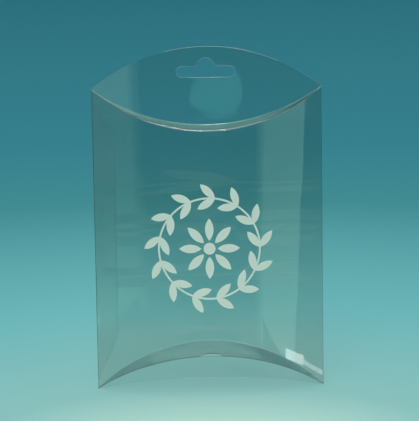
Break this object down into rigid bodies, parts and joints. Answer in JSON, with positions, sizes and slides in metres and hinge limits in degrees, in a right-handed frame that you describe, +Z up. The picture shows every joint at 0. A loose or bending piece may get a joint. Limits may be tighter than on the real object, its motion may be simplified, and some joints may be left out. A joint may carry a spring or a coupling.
{
  "type": "clear plastic pillow box with hang tab",
  "caption": "Clear film pillow box with arched panels, curved tuck flaps, a glued side seam, a hang tab with a hook slot and a white printed wreath.",
  "frame": {"origin": "on the table under the middle of the box", "axes": "+X to the right seen from the front, +Y to the back, +Z up; the printed front faces -Y"},
  "size_m": [0.1258, 0.0573, 0.1844],
  "materials": {
    "clear_film": "clear glossy film",
    "white_ink": "matt screen print"
  },
  "bodies": {
    "sheet": {"box_body": "clear_film", "front_print": "white_ink"},
    "upper_flap": {"top_flap": "clear_film"},
    "lower_flap": {"bottom_flap": "clear_film"}
  },
  "joints": [
    {"name": "top_flap_fold", "type": "hinge", "parent": "sheet", "child": "upper_flap", "pos_m": [0, -0.018, 0.14483], "axis": [1, 0, 0], "range_deg": [0, 105]},
    {"name": "bottom_flap_fold", "type": "hinge", "parent": "sheet", "child": "lower_flap", "pos_m": [0, -0.02863, 0.02329], "axis": [-1, 0, 0], "range_deg": [0, 60]}
  ]
}
